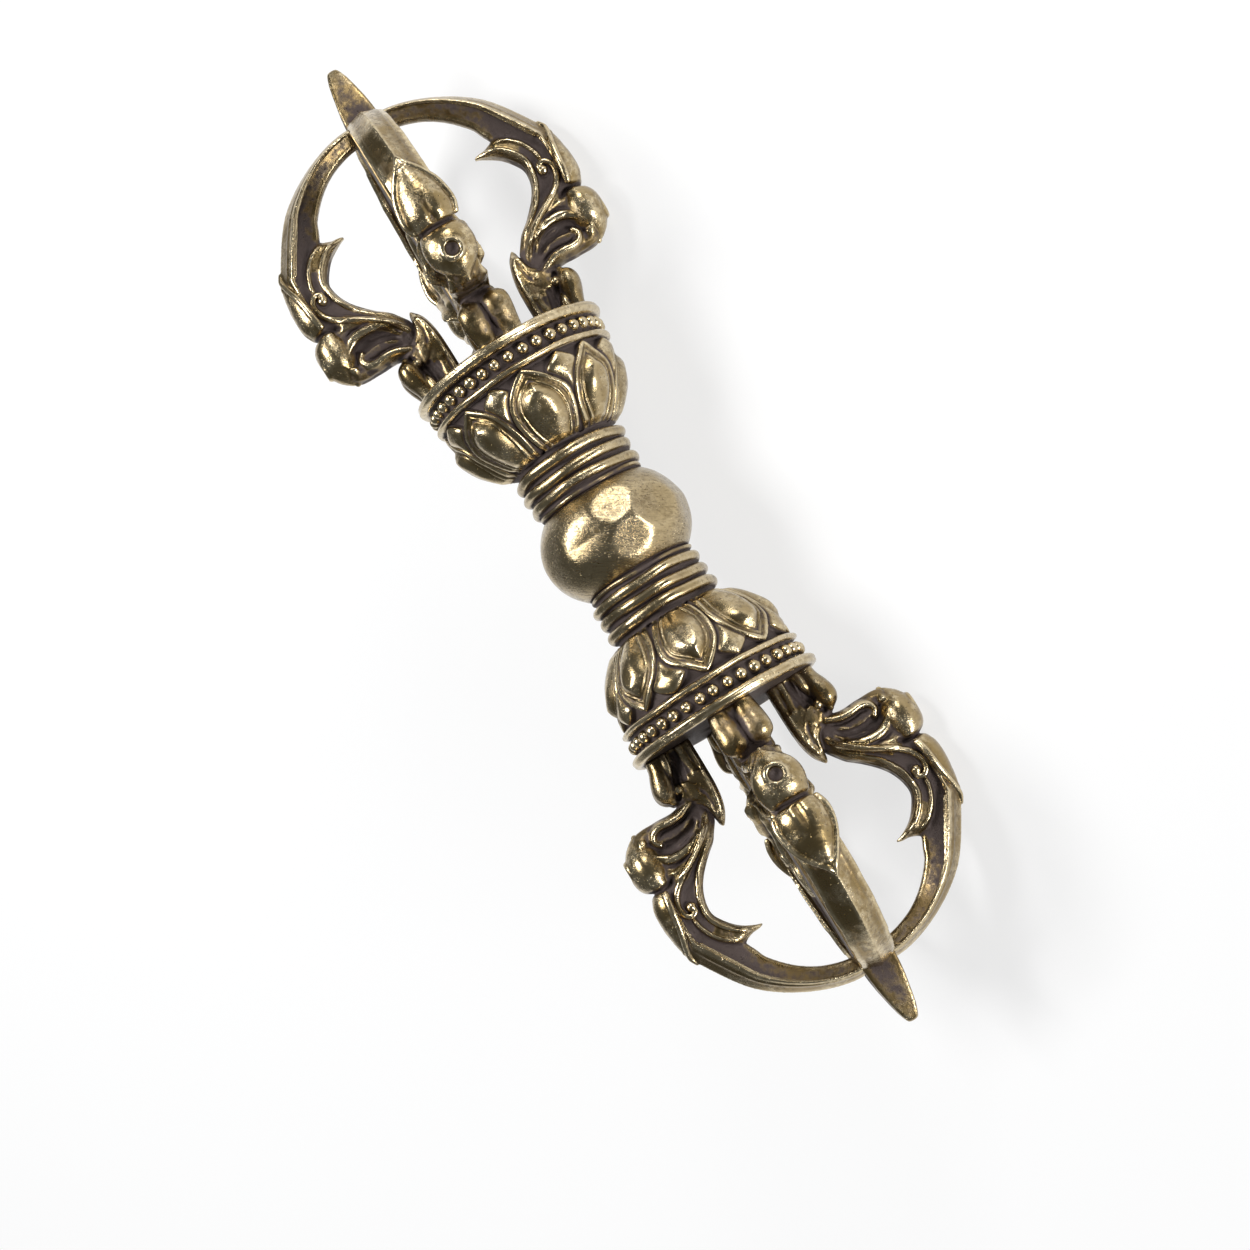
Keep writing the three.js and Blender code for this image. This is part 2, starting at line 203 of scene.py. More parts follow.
class Carving:
    """A block of small cells with the distance to the surface in each, negative inside the metal.

    x runs along the sceptre, r out from its axis and y to the side. Both sides are alike, so only
    the half from y = 0 is worked. Dark is how much of the old patina polish has left in each cell, and in a
    few places painted shade.
    """

    FAR = 9.0

    def __init__(self, x_range, y_reach, r_range):
        self.x = np.arange(*x_range, CELL)[:, None, None]
        self.y = np.arange(0, y_reach, CELL)[None, :, None]
        self.r = np.arange(*r_range, CELL)[None, None, :]
        shape = (self.x.size, self.y.size, self.r.size)
        self.depth = np.full(shape, self.FAR, np.float32)
        self.dark = np.zeros(shape, np.float32)

    def beside(self, line):
        """For each spot of the side view: the nearest sample of a line, the distance across it to
        its left as it runs, and the distance past its ends."""
        x, r = self.x[:, :, 0], self.r[0]
        apart = (x[..., None] - line[:, 0]) ** 2 + (r[..., None] - line[:, 1]) ** 2
        nearest = np.argmin(apart, axis=-1)
        run = np.gradient(line[:, :2], axis=0)
        run /= np.linalg.norm(run, axis=1)[:, None] + 1e-9
        dx, dr = x - line[nearest, 0], r - line[nearest, 1]
        tx, tr = run[nearest, 0], run[nearest, 1]
        along = dx * tx + dr * tr
        past = np.where(nearest == 0, np.clip(-along, 0, None), 0)
        past = np.where(nearest == len(line) - 1, np.clip(along, 0, None), past)
        across = tx * dr - tr * dx
        return nearest[:, None, :], across[:, None, :], past[:, None, :]

    def add(self, depth, blend=0.12, dark=0.0):
        """Joins a form on, with its own share of dark: patina, and on the buds painted shade."""
        share = smooth_step(-0.12, 0.12, self.depth - depth)
        self.dark += (share * (dark - self.dark)).astype(np.float32)
        self.depth = soft_min(self.depth, depth, blend).astype(np.float32)

    def cut(self, depth, blend):
        self.depth = soft_max(self.depth, -depth, blend).astype(np.float32)

    def darken(self, patina):
        """Keeps at least this much dark: patina in the blade's channel, and painted shade under the jaw and
        between the buds.
        """
        self.dark = np.maximum(self.dark, patina).astype(np.float32)

    def limb_depth(self, points, side):
        """Distance to an oval limb. Each point holds x, r, half depth and half width."""
        thinnest = 0.03
        line = curve_through(points)
        nearest, across, past = self.beside(line)
        half_deep = np.clip(line[nearest, 2], thinnest, None)
        half_wide = np.clip(line[nearest, 3], thinnest, None)
        u = np.hypot(across, past) / half_deep
        v = np.abs(self.y - side) / half_wide
        share = np.sqrt(u * u + v * v) + 1e-6
        slope = np.sqrt((u / half_deep) ** 2 + (v / half_wide) ** 2) + 1e-6
        return share * (share - 1) / slope

    def limb(self, points, blend, side=0.0, dark=0.0, above=None):
        """An oval limb, of which only the part further out than a given radius may be kept."""
        depth = self.limb_depth(points, side)
        if above:
            depth = soft_max(depth, above - self.r, 0.2)
        self.add(depth, blend, dark)

    def groove(self, points, half, deep):
        """A rounded groove along a line of the side view, which runs out at its ends."""
        line = curve_through(points)
        nearest, across, past = self.beside(line)
        cut = deep * fade_at_ends(nearest, line) * np.exp(-(np.hypot(across, past) / half) ** 2)
        self.depth += cut.astype(np.float32)
        self.dark += (0.8 * cut / deep * (1 - self.dark)).astype(np.float32)

    def within(self, outline):
        """How far each spot of the side view lies within a closed outline."""
        line = curve_through(outline + outline[:1], 6)
        x, r = self.x[:, 0], self.r[0]
        apart = np.full((self.x.size, self.r.size), np.inf)
        inside = np.zeros(apart.shape, bool)
        for (x0, r0), (x1, r1) in zip(line, line[1:]):
            dx, dr = x1 - x0, (r1 - r0) or 1e-9
            share = np.clip(((x - x0) * dx + (r - r0) * dr) / (dx * dx + dr * dr), 0, 1)
            apart = np.minimum(apart, np.hypot(x - x0 - share * dx, r - r0 - share * dr))
            inside ^= ((r0 > r) != (r1 > r)) & (x < x0 + (r - r0) * dx / dr)
        return np.where(inside, apart, -apart)

    def plate(self, outline, thickness, lines):
        """Flat metal with raised and sunken lines on both faces. Thickness is half of the metal's,
        and each line holds its points, half width, rise and how much patina it keeps."""
        inside = self.within(outline)
        face = thickness * (0.72 + 0.28 * smooth_step(0, 0.5, inside))
        dark = np.ones_like(face)
        for points, half, rise, patina in lines:
            line = curve_through(points)
            nearest, across, past = (field[:, 0] for field in self.beside(line))
            height = fade_at_ends(nearest, line) * hump(np.hypot(across, past), half)
            face = face + rise * height
            dark = dark + smooth_step(0.2, 0.6, height) * (patina - dark)
        steep = np.hypot(np.hypot(*np.gradient(face, CELL)), 1)
        depth = (self.y - face[:, None]) / steep[:, None]
        self.add(soft_max(depth, -inside[:, None], 0.2), dark=dark[:, None])

    def cord(self, points, blend=0.06):
        """A rounded cord through points of x, y, r and radius."""
        margin = 0.4
        apart = np.full(self.depth.shape, self.FAR, np.float32)
        axes = self.x[:, 0, 0], self.y[0, :, 0], self.r[0, 0]
        for x, y, r, radius in curve_through(points, 12):
            spans = [slice(*np.searchsorted(axis, (v - radius - margin, v + radius + margin)))
                     for axis, v in zip(axes, (x, y, r))]
            away = np.sqrt((self.x[spans[0]] - x) ** 2 + (self.y[:, spans[1]] - y) ** 2
                           + (self.r[:, :, spans[2]] - r) ** 2) - radius
            spot = tuple(spans)
            apart[spot] = np.minimum(apart[spot], away)
        self.add(apart, blend)

    def ball_depth(self, x, y, r, radius):
        return np.sqrt((self.x - x) ** 2 + (self.y - y) ** 2 + (self.r - r) ** 2) - radius

    def knob(self, x, y, r, radius, dark=0.0):
        self.add(self.ball_depth(x, y, r, radius), 0.08, dark)

    def mesh(self):
        """Both halves as points (x, y, r), faces and hollows."""
        whole = np.concatenate([self.depth[:, :0:-1], self.depth], axis=1)
        for axis in range(3):
            np.moveaxis(whole, axis, 0)[[0, -1]] = BAND
        cells, quads, hollows = block_surface(whole)
        dark = np.concatenate([self.dark[:, :0:-1], self.dark], axis=1)
        hollows["dark"] = sample(spread(dark, 0.12), cells)
        corner = np.array([self.x.min(), -self.y.max(), self.r.min()])
        return cells * CELL + corner, quads, hollows


# The prong, seen from the side: x along the sceptre and r out from its axis

def carve_leg(prong):
    """The leg and the pointed spur that stands beside the shaft."""
    outline = [(17.0, 3.68), (19.0, 3.66), (21.4, 3.7), (22.8, 3.86), (23.8, 4.15), (24.5, 4.55),
               (24.85, 4.9), (24.5, 5.1), (23.9, 5.16), (23.3, 5.3), (22.7, 5.5), (22.3, 6.0),
               (22.0, 6.8), (21.5, 7.4), (20.4, 7.6), (19.0, 7.3), (17.0, 7.1)]
    thickness = np.interp(prong.x[:, 0], [17, 21.5, 22.6, 23.8, 24.8], [1.5, 1.5, 1.4, 1.1, 0.5])
    prong.plate(outline, thickness, [
        # the swell of the spur, and of the leg behind it
        ([(24.7, 4.85), (23.6, 4.6), (22.2, 4.7), (20.8, 4.9), (19.6, 4.9)], 1.15, 0.2, 0.35),
        ([(21.9, 5.2), (21.0, 5.9), (20.4, 6.6)], 0.7, 0.12, 0.4),
        # the vein of the spur, and the lines and hollow of the leg
        ([(23.9, 4.9), (23.0, 4.75), (22.0, 4.85), (21.0, 5.25)], 0.16, -0.12, 0.8),
        ([(20.4, 4.6), (19.2, 4.7), (18.0, 4.8), (17.2, 4.8)], 0.3, 0.14, 0.4),
        ([(17.2, 5.5), (18.3, 5.45), (19.6, 5.7), (20.4, 5.8)], 0.34, -0.3, 1.0),
        # the rims on both sides of the spur
        ([(17.3, 3.98), (19.4, 3.98), (21.4, 4.0), (22.9, 4.18), (23.8, 4.48), (24.5, 4.85)],
         0.22, 0.12, 0.1),
        ([(24.3, 5.05), (23.5, 5.12), (22.85, 5.32), (22.4, 5.75), (22.2, 6.4)], 0.24, 0.2, 0.1),
        # the hollow under the buds
        ([(17.2, 6.3), (19.2, 6.2), (20.6, 6.6), (21.4, 7.2)], 0.32, -0.5, 1.0)])


def carve_drops(prong):
    """Two buds side by side in front, and a ball and a small drop behind each of them."""
    # The buds' dark share of 0.7 is painted shade.
    prong.limb([(17.2, 7.05, 0.7, 0.8), (18.3, 7.2, 0.74, 0.96), (19.3, 7.45, 0.9, 1.14),
                (20.1, 7.6, 0.94, 1.18), (20.7, 7.52, 0.76, 1.02), (21.15, 7.4, 0.34, 0.5)],
               0.06, side=1.12, dark=0.7)
    prong.limb([(17.2, 6.3, 0.4, 0.7), (18.3, 6.4, 0.44, 0.8), (19.0, 6.5, 0.34, 0.62),
                (19.5, 6.5, 0.1, 0.15)], 0.08, side=1.2, dark=0.2)
    prong.knob(20.5, 1.4, 6.62, 0.44, 0.1)
    # Painted shade along with patina in the gap between the buds, under the jaw.
    parting = smooth_step(0.45, 0.15, prong.y) * smooth_step(22.3, 22.0, prong.x)
    prong.darken(parting * smooth_step(6.9, 7.3, prong.r))


def carve_neck(prong):
    """The neck and inner leaf: bands that sweep up from behind the spur, the leaf's sunken ground,
    and a cord that curls round a small ball."""
    outline = [(24.15, 5.3), (24.9, 5.85), (25.5, 6.3), (26.3, 7.25), (27.3, 8.25), (28.3, 8.95),
               (29.4, 9.35), (30.4, 9.4), (31.2, 9.0), (32.0, 8.35), (32.55, 7.65), (32.95, 6.85),
               (33.15, 6.3), (33.35, 6.7), (33.4, 7.4), (33.65, 8.05), (34.0, 8.5), (34.3, 9.3),
               (34.0, 10.4), (33.2, 11.4), (32.0, 12.2), (30.2, 12.6), (28.5, 12.5), (26.8, 12.3),
               (25.2, 12.4), (23.8, 12.3), (22.7, 12.0), (21.95, 11.6), (21.75, 10.9), (21.75, 10.0),
               (21.8, 9.0), (21.9, 8.0), (21.9, 7.2), (21.9, 6.4), (22.2, 5.6), (23.2, 5.15)]
    x, r = prong.x[:, 0], prong.r[0]
    thickness = np.interp(x, [21.8, 23.0, 24.5, 26.5, 29.0, 31.0, 32.3, 33.0, 33.6, 34.3],
                          [1.1, 1.18, 1.36, 1.42, 1.36, 1.25, 1.12, 1.05, 0.8, 0.4])
    thickness = thickness * np.where(x > 31.5, np.interp(r, [6.2, 8.2], [0.45, 1]), 1)
    prong.plate(outline, thickness, [
        # the swell of the neck behind the brow
        ([(23.4, 6.0), (24.8, 7.5), (25.9, 9.3), (26.5, 11.2)], 1.3, 0.18, 0.35),
        # the mouth, and a thin line in it
        ([(23.3, 6.3), (23.75, 7.0), (24.1, 8.0), (24.15, 9.2), (23.9, 10.2), (23.3, 10.9), (22.8, 11.0)],
         0.55, -0.55, 1.0),
        ([(23.3, 6.3), (23.9, 7.2), (24.25, 8.2), (24.35, 9.2)], 0.13, 0.16, 0.2),
        # the sunken ground of the leaf and of the root of the blade
        ([(25.4, 6.9), (26.4, 8.2), (27.4, 9.5), (28.3, 10.3), (29.8, 10.4), (31.4, 9.9)],
         0.6, -0.16, 1.0),
        ([(30.6, 11.4), (31.9, 11.0), (33.0, 10.2), (33.8, 9.2)], 0.45, -0.16, 0.9),
        # the rim of the leaf, from the neck to the barb, and a line inside it
        ([(24.0, 5.72), (25.3, 6.6), (26.05, 7.52), (27.05, 8.58), (28.1, 9.3), (29.35, 9.74),
          (30.5, 9.8), (31.45, 9.35), (32.35, 8.5), (32.9, 7.5), (33.15, 6.6)], 0.3, 0.28, 0.0),
        ([(23.4, 5.75), (24.7, 6.75), (25.6, 7.9), (26.5, 9.15), (27.2, 10.2)], 0.3, 0.2, 0.2),
        # the back of the leaf
        ([(33.2, 7.3), (32.95, 8.5), (32.3, 9.4), (31.4, 10.05)], 0.5, 0.12, 0.25),
        ([(33.5, 8.2), (33.1, 9.2), (32.35, 10.05), (31.35, 10.62), (30.5, 10.85), (29.9, 10.8)],
         0.22, 0.28, 0.0),
        # the ridge that curls over the small ball
        ([(22.6, 5.65), (23.6, 5.95), (24.6, 6.75), (25.45, 7.85), (26.2, 9.05), (26.9, 10.2),
          (27.6, 11.0), (28.3, 11.4), (29.0, 11.5), (29.6, 11.2)], 0.3, 0.36, 0.0),
        # the band that comes out under the brow, the line beside it, and the lip
        ([(23.6, 6.2), (24.9, 7.3), (25.85, 8.7), (26.3, 10.0), (26.4, 11.2)], 0.46, 0.26, 0.15),
        ([(23.3, 6.2), (24.6, 7.2), (25.42, 8.5), (25.62, 9.8), (25.3, 10.8)], 0.14, -0.2, 0.9),
        ([(23.1, 6.1), (24.15, 6.85), (24.92, 8.05), (25.12, 9.3), (24.8, 10.35), (24.0, 11.05),
          (23.0, 11.35), (22.1, 11.3)], 0.42, 0.36, 0.05)])
    prong.cord([(27.9, 1.45, 11.2, 0.2), (28.7, 1.5, 11.5, 0.25), (29.4, 1.5, 11.36, 0.26),
                (29.78, 1.5, 10.92, 0.25), (29.62, 1.45, 10.5, 0.25), (29.3, 1.4, 10.5, 0.3)])
    prong.knob(29.1, 1.38, 10.6, 0.44)


def carve_jaw(prong):
    """The lower jaw leaves the leg, runs out to the chin and hooks back into the mouth."""
    prong.limb([(21.5, 5.9, 0.45, 1.35), (21.98, 6.7, 0.58, 1.55), (22.35, 7.6, 0.64, 1.7),
                (22.42, 8.6, 0.64, 1.78), (22.35, 9.5, 0.6, 1.7), (22.6, 10.15, 0.54, 1.56),
                (23.15, 10.4, 0.46, 1.44), (23.6, 10.1, 0.4, 1.38)], 0.1, dark=0.1)
    prong.groove([(22.2, 6.4), (22.75, 7.4), (22.86, 8.5), (22.78, 9.4), (23.05, 9.9)], 0.12, 0.2)
    # Painted shade along with patina on the jaw's underside and lower outer edge.
    under = smooth_step(1.6, 1.3, prong.y) * smooth_step(22.45, 22.1, prong.x)
    prong.darken(0.9 * (under * smooth_step(8.2, 8.7, prong.r)))


def carve_head(prong):
    """The rounded head, and the groove behind its brow."""
    prong.limb([(26.3, 11.8, 1.2, 1.82), (25.5, 11.9, 1.6, 2.08), (24.6, 11.92, 1.64, 2.12),
                (23.7, 11.86, 1.5, 1.88), (22.95, 11.78, 1.16, 1.32), (22.35, 11.68, 0.68, 0.66),
                (21.95, 11.6, 0.28, 0.2)], 0.08)
    prong.groove([(26.1, 10.3), (26.6, 11.0), (26.72, 11.8), (26.66, 12.6), (26.64, 14)], 0.2, 0.42)


def carve_snout(prong):
    """The teardrop on the outside of the blade's root: a dome with a parting, in a raised rim."""
    prong.limb([(27.0, 11.9, 1.12, 1.7), (27.9, 11.95, 1.46, 2.0), (28.9, 12.0, 1.5, 1.98),
                (30.1, 12.15, 1.28, 1.72), (31.1, 12.4, 0.9, 1.22), (31.9, 12.6, 0.5, 0.6)],
               0.08, above=11.75)
    parting = 0.26 * np.exp(-(prong.y / 0.34) ** 2)
    parting = parting * smooth_step(29.9, 28.0, prong.x) * smooth_step(26.8, 27.2, prong.x)
    parting = parting * (prong.r > 12)
    prong.depth += parting.astype(np.float32)
    prong.dark = np.clip(prong.dark + 1.2 * parting, 0, 1).astype(np.float32)
    prong.cord([(33.2, 0.0, 12.5, 0.14), (32.5, 0.3, 12.74, 0.22), (31.6, 0.98, 12.6, 0.25),
                (30.5, 1.66, 12.34, 0.27), (29.3, 2.06, 12.14, 0.29), (28.1, 2.14, 12.0, 0.3),
                (27.1, 1.88, 11.8, 0.28)])


def carve_blade(prong):
    """A two-sided roof outside, a lip at its eaves, and a keel that thins towards the shaft."""
    ridge = curve_through([
        (28.4, 12.1, 0.8, 1.5), (29.6, 12.42, 1.3, 1.75), (30.8, 12.75, 2.2, 1.84),
        (32.1, 12.93, 3.0, 1.86), (33.1, 12.5, 3.2, 1.87), (34.6, 11.6, 3.2, 1.87),
        (36.1, 10.6, 3.1, 1.85), (37.4, 9.5, 2.75, 1.82), (38.6, 8.0, 2.4, 1.8), (39.5, 6.5, 2.1, 1.76),
        (40.2, 5.0, 1.92, 1.72), (40.7, 3.5, 1.85, 1.68), (40.95, 2.2, 1.8, 1.66), (41.0, 1.2, 1.8, 1.66)])
    nearest, across, past = prong.beside(ridge)
    deep, half = ridge[nearest, 2], ridge[nearest, 3]
    inward = -across
    eaves = 0.36 * deep
    pitch = np.hypot(half, eaves)
    roof = (eaves * prong.y - half * inward) / pitch
    roof = soft_max(roof, prong.y - half, 0.12)
    roof = soft_max(roof, inward - eaves - 0.18 * deep + 0.5 * (half - prong.y), 0.12)
    thin = np.interp(inward / deep, [0.3, 0.5, 0.8, 1.0], [1.3, 1.1, 0.72, 0.5])
    keel = soft_max(prong.y - thin, np.abs(inward - 0.6 * deep) - 0.4 * deep, 0.25)
    edge = np.hypot(inward - deep + 0.2, prong.y * 0.4) - 0.22
    for depth, blend, dark in ((keel, 0.1, 0.85), (edge, 0.12, 0.2), (roof, 0.08, 0.05)):
        prong.add(np.maximum(depth, past - 0.05), blend, dark)
    channel = np.exp(-((inward - eaves - 0.1 * deep) / 0.16) ** 2)
    channel = channel * smooth_step(half - 0.35, half - 0.15, prong.y) * smooth_step(29.5, 32.5, prong.x)
    prong.depth += (0.1 * channel).astype(np.float32)
    prong.darken(0.9 * channel)


def carve_eye(prong):
    """A dark pit in a raised ring."""
    eye_x, ring_r, pit_r = 24.25, 13.27, 13.56
    ring_radius, ring_half, pit_radius = 0.78, 0.26, 0.6
    prong.add(np.hypot(np.hypot(prong.x - eye_x, prong.y) - ring_radius, prong.r - ring_r) - ring_half, 0.1)
    pit = prong.ball_depth(eye_x, 0, pit_r, pit_radius)
    prong.cut(pit, 0.08)
    prong.dark = np.where(pit < 0.04, 1, prong.dark).astype(np.float32)


def carve_prong():
    """The whole prong, cut off flat where it stands on the plate."""
    prong = Carving(x_range=(16.9, 41.6), y_reach=2.75, r_range=(0.8, 14.3))
    for carve in (carve_neck, carve_blade, carve_leg, carve_drops, carve_jaw, carve_snout, carve_head,
                  carve_eye):
        carve(prong)
    prong.cut(prong.x - PLATE_FACE, 0.05)
    return prong.mesh()


# The square shaft and its blunt pyramid point

def square_distance(across, up, half, rounding):
    dx = np.abs(across) - half + rounding
    dy = np.abs(up) - half + rounding
    outside = np.hypot(np.clip(dx, 0, None), np.clip(dy, 0, None))
    return outside + np.minimum(np.maximum(dx, dy), 0) - rounding


def carve_point():
    """Places and distances in a block round the shaft, whose blunt end is rounded off."""
    reach, nose = 2.1, 45.0
    x = np.arange(16.9, 46.5, CELL)[:, None, None]
    y = np.arange(-reach, reach + CELL, CELL)[None, :, None]
    z = np.arange(-reach, reach + CELL, CELL)[None, None, :]
    half = np.interp(x, [17, 40.2, 41.5, 42.5, 44, 44.8, 45.4, 46],
                     [1.5, 1.52, 1.42, 1.3, 1.02, 0.85, 0.66, 0.42])
    depth = square_distance(y, z, half, 0.2)
    rounded = np.sqrt((x - nose) ** 2 * (x > nose) + 0.8 * (y * y + z * z)) - 1.0 - 9 * (x < nose)
    depth = soft_max(depth, rounded, 0.12)
    depth = soft_max(depth, PLATE_FACE - x, 0.05)
    return x, y, z, depth


def point_mesh():
    x, y, z, depth = carve_point()
    cells, quads, hollows = block_surface(depth)
    points = cells * CELL + np.array([x.min(), y.min(), z.min()])
    # Darker all over, and darker still down the shaft towards the plate
    hollows["dark"] = 0.55 + 0.4 * smooth_step(42.8, 40.8, points[:, 0])
    return points, quads, hollows


# The grip, as a radius for each place along the axis and angle about it

# Flats worn on the ball: slant along the axis, angle about it, distance from the middle and softness.
# The ball's other half mirrors them.
BALL_FLATS = [(0.36, 5.4, 6.1, 0.12), (0.02, 4.86, 6.12, 0.08), (-0.12, 5.88, 6.26, 0.5),
              (-0.39, 5.23, 6.17, 0.35), (0.15, 0.3, 6.3, 0.4),
              (-0.3, 0.95, 6.3, 0.3), (0.2, 1.6, 6.28, 0.3), (-0.1, 2.3, 6.32, 0.4), (0.3, 3.0, 6.26, 0.3),
              (-0.25, 3.7, 6.3, 0.4), (0.3, 4.2, 6.24, 0.3)]


def ball_radius(x, angle):
    least_slope = 0.3
    oval = BALL_END / math.sqrt(1 - (BALL_END_RADIUS / BALL_RADIUS) ** 2)
    radius = BALL_RADIUS * np.sqrt(1 - (x / oval) ** 2)
    for along, turn, reach, soft in BALL_FLATS:
        slope = np.cos(along) * np.cos(angle - turn)
        height = (reach - x * np.sin(along)) / np.where(slope > least_slope, slope, least_slope)
        radius = np.where(slope > least_slope, soft_min(radius, height, soft), radius)
    return radius, 0 * angle


# Rings of the collar: middle along the axis, half width and rise
COLLAR_RINGS = ((3.98, 0.2, 0.25), (4.85, 0.44, 0.58), (6.02, 0.46, 0.56), (7.24, 0.5, 0.6))


def collar_radius(x, angle):
    radius = np.full(np.broadcast(x, angle).shape, GROOVE_RADIUS - 0.1)
    for centre, half, rise in COLLAR_RINGS:
        wander = 0.06 * np.sin(angle * 2 + centre * 3) + 0.04 * np.sin(angle * 5 + centre)
        uneven = 0.07 * np.sin(angle * 3 + centre * 2) + 0.05 * np.sin(angle * 8 + centre)
        radius = np.maximum(radius, GROOVE_RADIUS + (rise + uneven) * hump(x - centre - wander, half) ** 0.8)
    return radius, 0.25 + 0.75 * smooth_step(GROOVE_RADIUS + 0.3, GROOVE_RADIUS + 0.1, radius)


def bowl_radius(share):
    return CUP_FOOT_RADIUS + 2.85 * (1 - (1 - share) ** 2.2)


# Outlines of the petals: shares of the cup's length, and half angles in degrees there
LARGE_PETAL = ([0, 0.15, 0.3, 0.5, 0.65, 0.78, 0.88, 0.95, 1.0],
               [20.0, 21.6, 22.2, 20.8, 17.6, 12.6, 7.8, 4.2, 0.8])
SMALL_PETAL = ([0, 0.4, 0.6, 0.7, 0.8, 0.88, 0.94, 0.98, 1],
               [22, 20.5, 18.8, 16.6, 12.9, 9.2, 5.6, 2.6, 0.8])
PETAL_HEART = ([0, 0.15, 0.3, 0.5, 0.62, 0.7, 0.76, 0.8, 0.86],
               [12.6, 14.4, 15.2, 14.2, 11.6, 8.2, 5.0, 2.2, -3])


def petal_edge(share, offset, radius, outline):
    """Distance inside the edge of a petal, in millimetres across the bowl."""
    line = curve_through(np.column_stack(outline), 8)
    half = np.interp(share, line[:, 0], line[:, 1])
    lean = np.interp(share, line[:, 0], np.gradient(line[:, 1]) / np.gradient(line[:, 0]))
    lean = np.radians(lean) * radius / (CUP_END - COLLAR_END)
    return (np.radians(half) - np.abs(offset)) * radius / np.sqrt(1 + lean ** 2)


def cup_radius(x, angle):
    """A bowl with large petals in front, each with two rims and a swollen heart, and small ones behind."""
    outer_rim, inner_rim = 0.27, 0.74
    chased = x + 0.07 * np.sin(7 * angle + 2) + 0.04 * np.sin(12 * angle)
    angle = angle + 0.02 * np.sin(5 * angle + 1) + 0.008 * np.sin(11 * angle + 1.3 * x)
    share = np.clip((chased - COLLAR_END) / (CUP_END - COLLAR_END), 0, 1)
    radius = bowl_radius(share)
    sector = 2 * np.pi / PETALS
    off_middle = (angle + sector / 2) % sector - sector / 2
    front = petal_edge(share, off_middle, radius, LARGE_PETAL)
    behind = petal_edge(share, (angle % sector) - sector / 2, radius, SMALL_PETAL)
    heart = petal_edge(share, off_middle, radius, PETAL_HEART)
    rim = 0.4 * hump(front - outer_rim, 0.3) ** 0.8 + 0.26 * hump(front - inner_rim, 0.24)
    swell = 0.08 + 0.86 * smooth_step(-0.05, 1.3, heart) ** 0.6 * hump(share - 0.4, 0.62)
    large = 0.14 * smooth_step(-0.02, 0.1, front) + rim + swell * smooth_step(-0.02, 0.1, heart)
    inside = soft_min(behind, -front, 0.5)
    small = 0.26 * smooth_step(0, 0.1, behind) + 0.55 * hump(np.clip(1 - inside / 0.9, 0, 1), 1)
    relief = np.where(front > 0, large, np.where(behind > 0, small, 0) * smooth_step(0.4, 0.55, share))
    wander = 0.02 * np.sin(angle * 13 + x * 2) + 0.02 * np.sin(angle * 7 - x * 3)
    rims = np.maximum(hump(front - outer_rim, 0.26), hump(front - inner_rim, 0.2))
    metal = np.where(front > 0, np.maximum(rims, smooth_step(0, 0.2, heart)), smooth_step(0.02, 0.25, inside))
    patina = 1 - metal * np.where(front > 0, 1, smooth_step(0.45, 0.6, share))
    return radius - 0.16 + relief + wander - 0.3 * (1 - smooth_step(0, 0.06, share)), patina


# Places along the axis of the plate's two fillets and the beads between them
INNER_FILLET = 14.64
BEAD_ROW = 15.72
OUTER_FILLET = 16.96

BEAD_SIZES = 0.53 * random.uniform(0.92, 1.05, BEADS)
BEAD_SHIFTS = random.uniform(-0.05, 0.05, BEADS)


def plate_radius(x, angle):
    """Two fillets with a row of beads between them. Each bead has its own size and place."""
    ground = BEAD_ROW_RADIUS - 0.1
    wander = 0.03 * np.sin(angle * 9 + 1) + 0.03 * np.sin(angle * 4)
    inner = ground + 0.6 * hump(x - INNER_FILLET - wander, 0.3) ** 0.8
    outer = 7.6 + 1.05 * hump(x - OUTER_FILLET - 0.5 * wander, 0.52) ** 0.6 - 0.06 * hump(x - 17.05, 0.15)
    radius = np.maximum(np.maximum(ground + 0 * angle, inner), outer)
    radius = np.maximum(radius, 7.45 + 0.3 * smooth_step(14.4, 14.3, x))
    pitch = 2 * np.pi / BEADS
    number = np.floor(angle / pitch).astype(int) % BEADS
    centre = (angle % pitch) - pitch * (0.5 + BEAD_SHIFTS[number])
    size = BEAD_SIZES[number]
    distance = np.hypot(centre * 8.1, x - BEAD_ROW)
    bead = BEAD_ROW_RADIUS + 0.03 + np.sqrt(np.clip(size ** 2 - distance ** 2, 0, None)) * 1.05
    radius = np.where(distance < size, np.maximum(radius, bead), radius)
    return radius, smooth_step(BEAD_ROW_RADIUS + 0.22, BEAD_ROW_RADIUS + 0.05, radius)


def grip_surface(x, angle):
    """The whole grip from the middle of the ball to the plate's face: its radius, and how much patina
    lies there."""
    shapes = [ball_radius(np.minimum(x, BALL_END), angle), collar_radius(x, angle), cup_radius(x, angle),
              plate_radius(x, angle)]
    zones = [x < BALL_END, x < COLLAR_END, x < CUP_END]
    return [np.select(zones, layers[:3], layers[3]) for layers in zip(*shapes)]


def box_blur(field, reach_rows, reach_columns):
    """Mean over a window. Columns run round the piece, so they wrap."""
    for _ in range(2):
        rows = np.pad(field, ((reach_rows + 1, reach_rows), (0, 0)), mode="edge").cumsum(axis=0)
        field = (rows[2 * reach_rows + 1:] - rows[:-2 * reach_rows - 1]) / (2 * reach_rows + 1)
        wide = np.pad(field, ((0, 0), (reach_columns + 1, reach_columns)), mode="wrap").cumsum(axis=1)
        field = (wide[:, 2 * reach_columns + 1:] - wide[:, :-2 * reach_columns - 1]) / (2 * reach_columns + 1)
    return field


